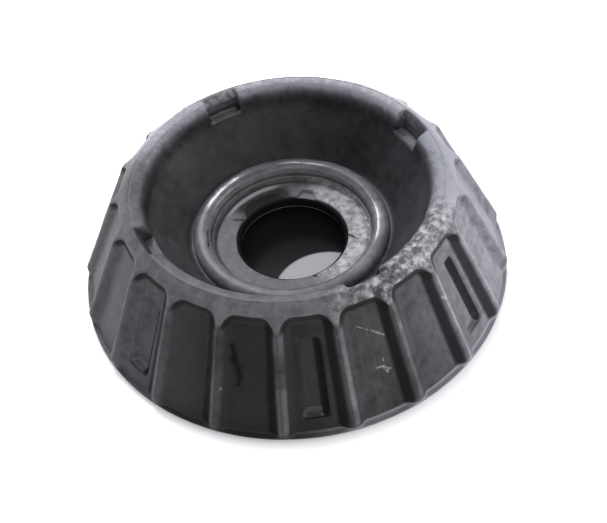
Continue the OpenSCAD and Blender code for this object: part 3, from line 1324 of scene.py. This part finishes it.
    def _press_notches(self, piece: bpy.types.Object) -> None:
        """Presses the notches into the lip, down to their ledge.

        Args:
            piece: Piece to shape.
        """
        places = Places.of(piece)
        spacing = 360.0 / self.notches
        off = np.min([places.off(self.notch_turn + i * spacing) for i in range(self.notches)], axis=0)
        depth_in = places.r * np.radians(self.notch_deg / 2.0 - off) + self.notch_run / 2.0
        across = (self.notch_r - places.r) / self.notch_slope + 0.5
        lip = (places.r > self.notch_from_r) & (places.z > self.notch_floor_z)
        weights = np.where(lip, smooth_step(depth_in / self.notch_run) * smooth_step(across), 0.0)
        ledge = Bench.former("notch_ledge", (self.base_r, self.notch_floor_z), (0.0, self.notch_floor_z))
        Bench.press(piece, ledge, weights)

    def _open_film(self, piece: bpy.types.Object) -> None:
        """Draws the film down below the steel's face in two places, which leaves the steel bare.

        Args:
            piece: Piece to shape.
        """
        places = Places.of(piece)
        near = places.r < self.land_edge[0] + self.film_margin
        film = near & (places.z < self.ridge[1] - self.film_margin)
        bare = np.max([o.depth(places, self.film_edge[0]) for o in (self.window, self.tab)], axis=0)
        under = film & (places.z < self.core.plate_top + self.film_touch)
        Bench.press(piece, self._film_former(self.film_foot_sink), np.where(under, bare, 0.0))
        Bench.press(piece, self._film_former(self.film_top_sink), np.where(film & ~under, bare, 0.0))

    def _film_former(self, sink: float) -> bpy.types.Object:
        """Makes the disc that the film is pressed to, at or a little below the steel's face."""
        z = self.core.plate_top - sink
        return Bench.former("film_floor", (self.core.skirt_r, z), (0.0, z))

    def _tear_film(self, piece: bpy.types.Object) -> None:
        """Presses the cracks into the film, narrower towards their tips.

        Args:
            piece: Piece to shape.
        """
        places = Places.of(piece)
        torn = np.zeros(len(places.r))
        for crack in self.cracks:
            share = (places.r - self.film_edge[0]) / (crack.reach - self.film_edge[0])
            off = np.radians(places.off(crack.start + (crack.end - crack.start) * share)) * places.r
            half = self.crack_w / 2.0 * np.clip(self.crack_full - share, self.crack_tip, 1.0)
            film = (places.z < self.bead[1]) & (places.z > self.core.plate_top) & (share < 1.0)
            torn = np.maximum(torn, film & (off < half))
        Bench.press(piece, self._film_former(0.0), torn)


@dataclass(frozen=True)
class SkyPatch:
    """A soft patch of light in the sky round the part."""

    azimuth: float
    elevation: float
    spread: float
    strength: float
    tint: Colour = (1.025, 0.985, 1.025)

    def axis(self) -> Spot:
        """Finds the direction of the patch's middle.

        Returns:
            A vector of length 1.
        """
        a = math.radians(self.azimuth)
        e = math.radians(self.elevation)
        return (math.cos(a) * math.cos(e), math.sin(a) * math.cos(e), math.sin(e))


@dataclass
class Studio:
    """Pale floor, soft sky light and the camera at the photograph's angle."""

    floor_half: float = 2.5
    azimuth: float = -0.8
    elevation: float = 48.66
    distance: float = 270.0
    roll: float = -6.88
    focal_px: float = 933.3
    centre_px: Point = (-8.61, -2.84)
    sensor: float = 36.0
    clip_start: float = 0.01
    ambient: float = 0.02
    sky: tuple[SkyPatch, ...] = (
        SkyPatch(-45.0, 10.0, 42.0, 0.95),
        SkyPatch(0.0, 10.0, 42.0, 4.0),
        SkyPatch(135.0, 10.0, 42.0, 2.9, (0.97, 0.99, 1.08)),
        SkyPatch(-90.0, 48.0, 38.0, 1.7),
        SkyPatch(90.0, 48.0, 38.0, 1.6, (0.97, 0.99, 1.08)),
        SkyPatch(100.0, 46.0, 11.0, 34.0),
    )

    def build(self) -> None:
        """Makes the floor, the sky and the camera."""
        self._floor()
        self._sky()
        self._camera()
        bpy.context.scene.view_settings.view_transform = "Standard"

    def _floor(self) -> None:
        """Lays the floor under the base plane."""
        Bench.clear()
        bpy.ops.mesh.primitive_plane_add(size=2.0 * self.floor_half, location=ORIGIN)
        floor = bpy.context.object
        floor.name = "floor"
        floor.data.materials.append(FloorFinish().make())

    def _sky(self) -> None:
        """Surrounds the part with soft patches of light."""
        world = bpy.data.worlds.new("studio")
        world.use_nodes = True
        bpy.context.scene.world = world
        g = Graph(world.node_tree)
        way = g.node("ShaderNodeTexCoord", {}, {}, "Generated")
        light: Wire | Colour = (self.ambient, self.ambient, self.ambient)
        for patch in self.sky:
            facing = g.vector("DOT_PRODUCT", way, patch.axis(), output="Value")
            level = facing.rise(math.cos(math.radians(patch.spread)), 1.0) * patch.strength
            light = g.vector("MULTIPLY_ADD", patch.tint, level, light)
        back = g.node("ShaderNodeBackground", {}, {"Color": light, "Strength": 1.0})
        g.node("ShaderNodeOutputWorld", {}, {"Surface": back})

    def _camera(self) -> None:
        """Sets the camera where the photograph was taken from."""
        a = math.radians(self.azimuth)
        e = math.radians(self.elevation)
        back = Vector((math.sin(a) * math.cos(e), -math.cos(a) * math.cos(e), math.sin(e)))
        right = Vector((math.cos(a), math.sin(a), 0.0))
        up = back.cross(right)
        turn = math.radians(self.roll)
        across = right * math.cos(turn) + up * math.sin(turn)
        upright = up * math.cos(turn) - right * math.sin(turn)
        data = bpy.data.cameras.new("photo_camera")
        data.sensor_fit = "HORIZONTAL"
        data.sensor_width = self.sensor
        data.lens = self.focal_px / PHOTO_W * self.sensor
        data.shift_x = -self.centre_px[0] / PHOTO_W
        data.shift_y = self.centre_px[1] / PHOTO_W
        data.clip_start = self.clip_start
        camera = bpy.data.objects.new("photo_camera", data)
        bpy.context.collection.objects.link(camera)
        turned = Matrix((across, upright, back)).transposed().to_4x4()
        camera.matrix_world = Matrix.Translation(back * self.distance * MM) @ turned
        bpy.context.scene.camera = camera


def dress(piece: bpy.types.Object, material: bpy.types.Material, node: Node, slot: Slot) -> None:
    """Gives a piece its finish and ties it to the frame.

    Args:
        piece: The modelled piece.
        material: Its finish.
        node: CAD node that it stands for.
        slot: The record's material slot; not used.
    """
    piece.data.materials.clear()
    piece.data.materials.append(material)
    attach(piece, ROOT_BODY)
    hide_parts(node.value)
    log.info("%s: %d faces, stands for %s", piece.name, len(piece.data.polygons), node.value)


def main() -> None:
    """Builds the mount's pieces in order, then the studio."""
    logging.basicConfig(level=logging.INFO, format="%(name)s: %(message)s")
    core = SteelCore()
    cone = RubberCone(core)
    dress(cone.build(), RubberFinish().make(cone), Node.RUBBER_CONE, Slot.RUBBER)
    dress(core.build(), SteelFinish().make(), Node.STEEL_CORE, Slot.STEEL)
    Studio().build()


if __name__ == "__main__":
    main()
